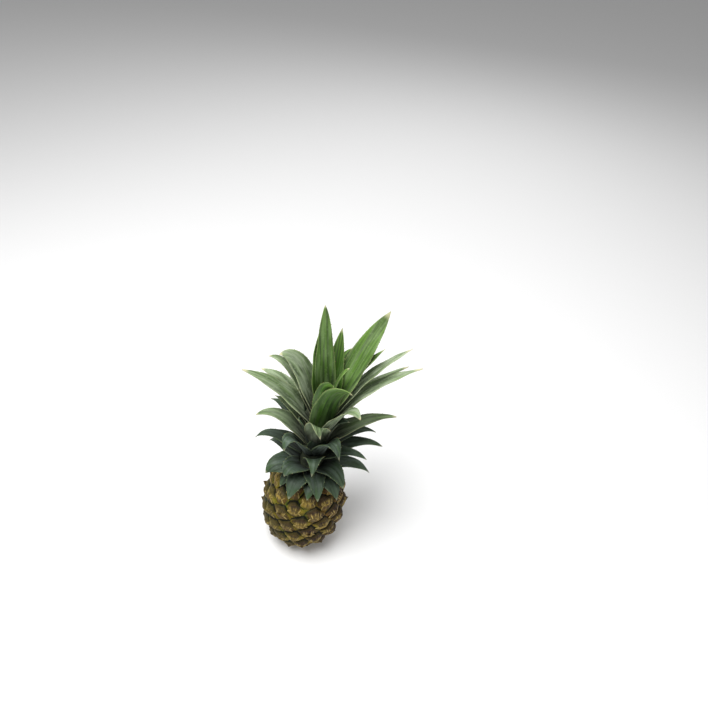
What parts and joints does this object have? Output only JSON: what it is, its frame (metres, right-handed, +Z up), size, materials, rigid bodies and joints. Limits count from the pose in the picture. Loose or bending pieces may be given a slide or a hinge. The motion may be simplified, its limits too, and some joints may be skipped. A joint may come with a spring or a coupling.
{
  "type": "pineapple",
  "caption": "Small whole pineapple standing on its base, with raised pointed eyes in spirals and a tall leafy crown that leans to one side.",
  "frame": {"origin": "middle of the flat base, on the resting plane", "axes": "+Z up through the fruit towards the crown, -Y the front side, +X the side that the crown leans to"},
  "size_m": [0.1567, 0.1144, 0.2878],
  "materials": {
    "skin": "rough pineapple skin: dull brown eyes with tan bract edges over olive-green grooves",
    "cut_fibre": "dry cut stalk, pale and fibrous",
    "leaf": "stiff leaves with a thin waxy bloom, grey-green outside and bright green at the heart"
  },
  "bodies": {
    "root": {"fruit": "skin", "stalk": "cut_fibre", "crown": "leaf"}
  },
  "joints": []
}
